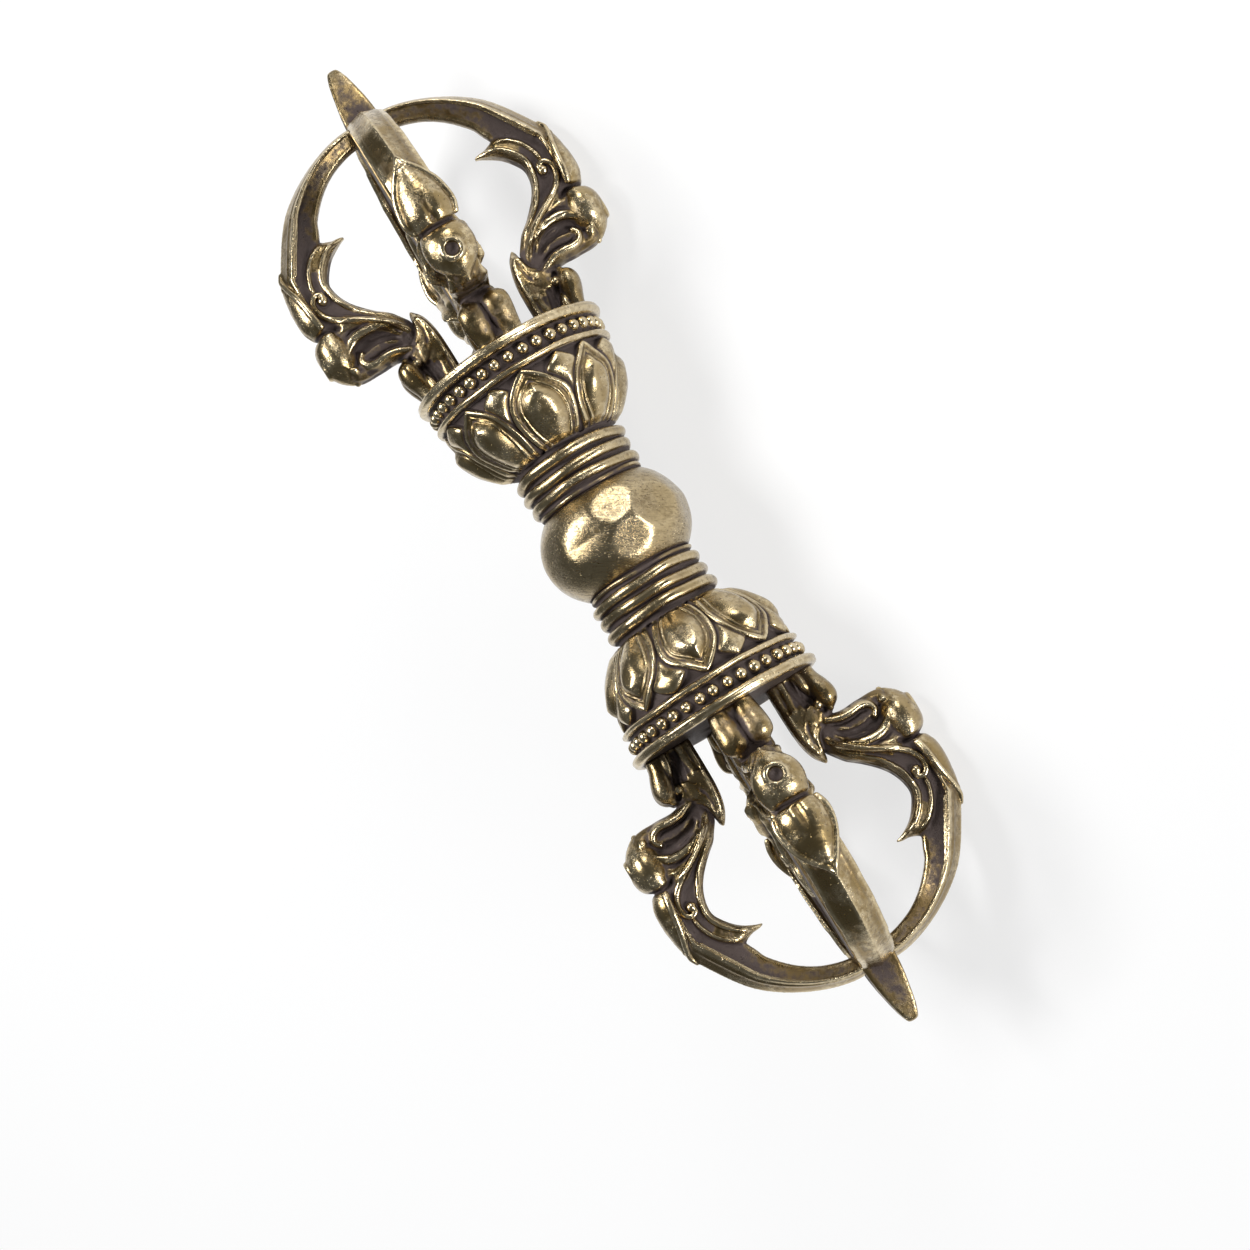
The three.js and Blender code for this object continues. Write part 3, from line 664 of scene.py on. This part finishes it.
def turned_mesh(seed, start, end, bore, columns, step):
    """One turned and chased piece of the grip, with a bore and flat ends. Columns is how many points
    go round it, and step how far apart their rows lie."""
    near_reach, wide_reach = 0.22, 0.7
    rows = int(round((end - start) / step))
    margin = int(round(1.5 / step))
    x = start + (end - start) * np.arange(-margin, rows + margin + 1) / rows
    angle = 2 * np.pi * np.arange(columns) / columns
    x, angle = np.meshgrid(x, angle, indexing="ij")
    radius, patina = grip_surface(np.abs(x) if start < 0 else x, angle)
    turn = 2 * np.pi * BALL_RADIUS / columns
    near, wide = (box_blur(radius, max(1, round(reach / step)), max(1, round(reach / turn))) - radius
                  for reach in (near_reach, wide_reach))
    inner = slice(margin, margin + rows + 1)
    x, angle, radius, near, wide, patina = (field[inner] for field in (x, angle, radius, near, wide, patina))
    points = np.stack([x, radius * np.sin(angle), radius * np.cos(angle)], axis=-1)
    lift = 0.02 * unevenness(points, 3.0, seed)
    points[..., 1:] *= (1 + lift / radius)[..., None]
    bores = []
    for row in (-1, 0):
        shrink = bore / radius[row]
        bores.append(points[row] * np.column_stack([np.ones(columns), shrink, shrink]))
    face = [bores[0] + (points[-1] - bores[0]) * share for share in (0.92, 0.75, 0.58, 0.4, 0.2)]
    points = np.concatenate([points, face, bores])
    flat = np.zeros((len(face) + len(bores), columns))
    hollows = {"near": np.concatenate([0.5 + near * 0.9, flat + 0.52]).ravel(),
               "wide": np.concatenate([0.5 + wide * 0.45, flat + 0.6]).ravel(),
               "dark": np.concatenate([patina, flat + 1]).ravel()}
    ring = np.arange(columns)
    row = np.arange(len(points))[:, None] * columns
    after = np.roll(row, -1, axis=0)
    quads = np.stack([row + ring, after + ring, after + np.roll(ring, -1), row + np.roll(ring, -1)], axis=-1)
    return points.reshape(-1, 3), quads.reshape(-1, 4), hollows


# Materials

class Value:
    """A number or colour that varies over a surface. Sums and products with it add Math nodes."""

    def __init__(self, finish, socket):
        self.finish, self.socket = finish, socket

    def math(self, operation, *values):
        return self.finish.node("Math", {"operation": operation}, dict(enumerate(values))).out(0)

    def __add__(self, other):
        return self.math("ADD", self, other)

    def __radd__(self, other):
        return self.math("ADD", other, self)

    def __sub__(self, other):
        return self.math("SUBTRACT", self, other)

    def __rsub__(self, other):
        return self.math("SUBTRACT", other, self)

    def __mul__(self, other):
        return self.math("MULTIPLY", self, other)

    def __rmul__(self, other):
        return self.math("MULTIPLY", other, self)

    def greater(self, other):
        return self.math("MAXIMUM", self, other)

    def between(self, low, high):
        """0 at low and 1 at high, with a smooth change between. Low may be the greater of the two."""
        settings = {"interpolation_type": "SMOOTHSTEP"}
        sockets = {"Value": self, "From Min": low, "From Max": high}
        return self.finish.node("MapRange", settings, sockets).out(0)


class Node:
    def __init__(self, finish, node):
        self.finish, self.node = finish, node

    def out(self, name):
        return Value(self.finish, self.node.outputs[name])


class Finish:
    """A material and its nodes."""

    def __init__(self, name):
        self.material = bpy.data.materials.new(name)
        self.material.use_nodes = True
        self.tree = self.material.node_tree
        self.tree.nodes.clear()

    def node(self, kind, settings=None, sockets=None):
        """A node by its type, its settings, and the values or links of its sockets."""
        node = self.tree.nodes.new("ShaderNode" + kind)
        for name, value in (settings or {}).items():
            setattr(node, name, value)
        for name, value in (sockets or {}).items():
            if isinstance(value, Value):
                self.tree.links.new(value.socket, node.inputs[name])
            else:
                node.inputs[name].default_value = value
        return Node(self, node)

    def mix(self, share, first, second):
        """First colour to second by a share that varies over the surface."""
        start = first if isinstance(first, Value) else (*first, 1)
        return self.node("Mix", {"data_type": "RGBA"}, {0: share, 6: start, 7: (*second, 1)}).out(2)

    def attribute(self, name):
        return self.node("Attribute", {"attribute_name": name}).out("Fac")

    def millimetres(self):
        """Object coordinates, in millimetres."""
        place = self.node("TexCoord").out("Object")
        return self.node("VectorMath", {"operation": "MULTIPLY"}, {0: place, 1: (1 / MM,) * 3}).out(0)

    def along(self, directions):
        """Coordinates measured along given directions, each with its own scale."""
        place = self.node("TexCoord").out("Object")
        values = {}
        for i, (direction, scale) in enumerate(directions):
            step = self.node("VectorMath", {"operation": "DOT_PRODUCT"}, {0: place, 1: direction})
            values[i] = step.out("Value") * scale
        return self.node("CombineXYZ", None, values).out(0)

    def noise(self, place, scale, detail, roughness):
        return self.node("TexNoise", None, {"Vector": place, "Scale": scale, "Detail": detail,
                                            "Roughness": roughness}).out("Fac")

    def specks(self, place, scale):
        """The distance from the nearest of many scattered points."""
        sockets = {"Vector": place, "Scale": scale, "Randomness": 1.0}
        return self.node("TexVoronoi", {"feature": "F1"}, sockets).out("Distance")


# PATINA and OLIVE_BRASS also colour the painted shade that the dark attribute carries
WORN_BRASS = (0.7, 0.58, 0.37)
OLD_BRASS = (0.3, 0.213, 0.09)
OLIVE_BRASS = (0.155, 0.105, 0.045)
PATINA = (0.07, 0.05, 0.044)

# Directions along, across and out of the brushed scratches, with how close they lie in each, per metre
BRUSHED = [((-0.45, -0.62, -0.64), 500), ((0.85, -0.46, -0.27), 9000), ((-0.13, -0.67, 0.74), 3000)]


def brass(name, wear=0.0, pits=1.0, scratches=0.4, rough=0.22, patches=1.0):
    """Old cast brass: rubbed bright on the high places, olive on the flats and nearly black where
    polish never reaches. The dark attribute also brings in painted shade, which turns olive or black here."""
    finish = Finish(name)
    place = finish.millimetres()
    near, wide, dark = (finish.attribute(label) for label in ("near", "wide", "dark"))
    cloud = finish.noise(place, 0.4, 4.0, 0.6)
    grime = finish.noise(place, 1.6, 5.0, 0.65)
    mottle = finish.noise(place, 2.4, 6.0, 0.62)
    grain = finish.noise(place, 9.0, 3.0, 0.6)
    brushed = finish.noise(finish.along(BRUSHED), 1.0, 4.0, 0.7)

    # Where the patina, dull metal, rubbed metal, pits and spots lie; sunken also takes painted shade from the
    # dark attribute
    sunken = near * 0.9 + wide * 0.55 + dark * 0.24 + (grime - 0.5) * 0.3 + (cloud - 0.5) * 0.25 - wear
    patina = sunken.between(0.78, 0.92)
    dulled = sunken.between(0.58, 0.8)
    rubbed = (near + (grime - 0.5) * 0.12 + dark * 0.1 - wear).between(0.48, 0.36)
    pit = finish.specks(place, 2.4).between(0.2, 0.08) * grime.between(0.48, 0.6) * pits
    fine_pit = finish.specks(place, 6.5).between(0.28, 0.1) * cloud.between(0.44, 0.58) * pits
    spots = mottle.between(0.46, 0.63) * cloud.between(0.36, 0.54) * (1 - 0.5 * rubbed) * patches
    bright = cloud.between(0.42, 0.6) * (0.4 + 0.6 * grime.between(0.4, 0.56))

    colour = finish.mix(bright * patches + 0.4 * (1 - patches), OLD_BRASS, WORN_BRASS)
    colour = finish.mix(rubbed * (0.5 + 0.4 * grime.between(0.4, 0.56)), colour, WORN_BRASS)
    colour = finish.mix(dulled * (0.55 + 0.45 * grime), colour, OLIVE_BRASS)
    colour = finish.mix(spots * 0.62 + brushed.between(0.5, 0.66) * (0.4 * scratches), colour, OLIVE_BRASS)
    colour = finish.mix(fine_pit * 0.6 + pit * 0.7, colour, PATINA)
    colour = finish.mix(patina, colour, PATINA)
    roughness = (rough + 0.1 * dulled + 0.08 * patches * (grime - 0.5) + 0.3 * patina + 0.15 * pit
                 + 0.08 * spots + scratches * 0.3 * (brushed - 0.5))
    height = ((0.007 + 0.025 * patina) * grain - 0.04 * pit - 0.016 * fine_pit - 0.009 * spots
              + 0.02 * scratches * brushed)
    bump = finish.node("Bump", None, {"Strength": 1.0, "Distance": MM, "Height": height}).out("Normal")
    shader = finish.node("BsdfPrincipled", None, {
        "Base Color": colour, "Roughness": roughness, "Metallic": 1 - 0.6 * patina, "Normal": bump,
        "Coat Weight": 0.2 - 0.2 * patina, "Coat Roughness": 0.28})
    finish.node("OutputMaterial", None, {"Surface": shader.out(0)})
    return finish.material


# Pieces

SIDES = {"upper": Matrix.Identity(3), "lower": Matrix.Rotation(math.pi, 3, "Z")}


def make_grip(worn, carved):
    """The ball, and a collar, cup and plate on each side of it."""
    ball = turned_mesh(4, -BALL_END, BALL_END, BORE_RADIUS, 420, 0.1)
    place("hub_ball", new_mesh("hub_ball", *ball), worn, "worn_brass")
    parts = {
        "neck_collar": turned_mesh(6, BALL_END, COLLAR_END, BORE_RADIUS, 420, 0.07),
        "lotus_cup": turned_mesh(3, COLLAR_END, CUP_END, BORE_RADIUS, 640, 0.07),
        "prong_plate": turned_mesh(5, CUP_END, PLATE_FACE, PLATE_BORE_RADIUS, 960, 0.07),
    }
    for node, (points, quads, hollows) in parts.items():
        for side, turn in SIDES.items():
            mesh = new_mesh(f"{side}_{node}", turned(points, turn), quads, hollows)
            place(f"{side}_{node}", mesh, carved, "carved_brass")


def side_lean(points):
    """Unit steps to the side that a point lies on, so that the two faces of a prong move apart."""
    lean = np.zeros_like(points)
    lean[:, 1] = np.clip(points[:, 1] / 0.6, -1, 1)
    return lean


def make_cages(prong_brass, point_brass):
    """The prongs and the shaft of each cage, turned to stand between the axes. No two prongs are
    uneven alike."""
    prong_points, prong_quads, prong_hollows = carve_prong()
    point_points, point_quads, point_hollows = point_mesh()
    sector = 360 / PRONGS
    for side, turn in SIDES.items():
        for i in range(PRONGS):
            stand = turn @ Matrix.Rotation(math.radians(sector / 2 + sector * i), 3, "X")
            points = turned(prong_points, stand)
            lean = turned(side_lean(prong_points), stand)
            points = points + 0.04 * unevenness(points, 2.5, 7)[:, None] * lean
            name = f"{side}_prong_{i + 1}"
            place(name, new_mesh(name, points, prong_quads, prong_hollows), prong_brass, "prong_brass")
        stand = turn @ Matrix.Rotation(math.radians(45), 3, "X")
        mesh = new_mesh(f"{side}_spike", turned(point_points, stand), point_quads, point_hollows)
        place(f"{side}_spike", mesh, point_brass, "point_brass")


# Floor, light and camera

def make_floor():
    """A pale floor. Part of its light is its own, as seen by the camera and in the metal, which keeps
    the object's shadow soft and pale."""
    bpy.ops.mesh.primitive_plane_add(size=6, location=(0, 0, cad_box[0][2]))
    floor = bpy.context.object
    floor.name = "floor"
    finish = Finish("pale_floor")
    path = finish.node("LightPath")
    seen = path.out("Is Camera Ray").greater(path.out("Is Glossy Ray"))
    seen = seen.greater(path.out("Is Transmission Ray"))
    matt = finish.node("BsdfPrincipled", None, {"Base Color": (0.9, 0.9, 0.9, 1), "Roughness": 0.9})
    bright = finish.node("Emission", None, {"Color": (1, 1, 1, 1), "Strength": 1.0})
    both = finish.node("MixShader", None, {0: seen * 0.72, 1: matt.out(0), 2: bright.out(0)})
    finish.node("OutputMaterial", None, {"Surface": both.out(0)})
    floor.data.materials.append(finish.material)


def lamp(name, place_mm, size_mm, power):
    """A rectangular lamp aimed at the middle of the object."""
    light = bpy.data.lights.new(name, "AREA")
    light.shape = "RECTANGLE"
    light.size, light.size_y = size_mm[0] * MM, size_mm[1] * MM
    light.energy = power
    item = bpy.data.objects.new(name, light)
    item.location = Vector(place_mm) * MM
    item.rotation_euler = (-Vector(place_mm)).to_track_quat("-Z", "Y").to_euler()
    bpy.context.scene.collection.objects.link(item)


def make_light():
    lamp("overhead_softbox", (170, 70, 330), (170, 150), 1.5)
    lamp("side_softbox", (-215, -285, 48), (110, 80), 0.9)
    lamp("end_softbox", (250, -250, 115), (120, 130), 0.5)
    world = bpy.data.worlds.new("studio")
    bpy.context.scene.world = world
    world.use_nodes = True
    background = world.node_tree.nodes["Background"]
    background.inputs["Color"].default_value = (0.9, 0.95, 1, 1)
    background.inputs["Strength"].default_value = 0.14


def make_camera():
    """The camera of the photograph, worked out in a frame where z is the sceptre's axis, y points
    away from the viewer and x to the right before the camera rolls."""
    roll, tilt, about = 0.5497, -0.126, -0.05
    shift_x, shift_y, far = -0.717, 7.32, 261.0
    focal_pixels, photo_pixels, sensor = 3191.0, 1250, 36
    right = Vector((math.cos(roll), -math.sin(tilt) * math.sin(roll), -math.cos(tilt) * math.sin(roll)))
    up = Vector((math.sin(roll), math.sin(tilt) * math.cos(roll), math.cos(tilt) * math.cos(roll)))
    away = Vector((0, math.cos(tilt), -math.sin(tilt)))
    seat = -shift_x * right - shift_y * up - far * away
    half = math.sqrt(0.5)
    to_cad = Matrix(((0, 0, 1), (-half, half, 0), (-half, -half, 0)))
    to_cad = Matrix.Rotation(about, 3, "X") @ to_cad
    right, up, away, seat = (to_cad @ v for v in (right, up, away, seat))
    data = bpy.data.cameras.new("camera")
    data.sensor_width = sensor
    data.sensor_fit = "HORIZONTAL"
    data.lens = sensor * focal_pixels / photo_pixels
    data.clip_start, data.clip_end = 0.01, 20
    camera = bpy.data.objects.new("camera", data)
    pose = Matrix((right, up, -away)).transposed().to_4x4()
    pose.translation = seat * MM
    camera.matrix_world = pose
    bpy.context.scene.collection.objects.link(camera)
    bpy.context.scene.camera = camera


def dress_core_rod(finish):
    rod = bpy.data.objects["core_rod"]
    rod.data.materials.clear()
    rod.data.materials.append(finish)


make_camera()
make_light()
make_floor()
ball_brass = brass("rubbed_ball_brass", wear=0.06, pits=1.2, scratches=1.7, rough=0.19, patches=0.5)
chased_brass = brass("chased_brass", wear=0.05)
prong_brass = brass("prong_brass")
point_brass = brass("point_brass", wear=-0.07, pits=2.0, rough=0.26)
make_grip(ball_brass, chased_brass)
dress_core_rod(brass("rod_brass"))
make_cages(prong_brass, point_brass)
bpy.context.scene.view_settings.view_transform = "Standard"
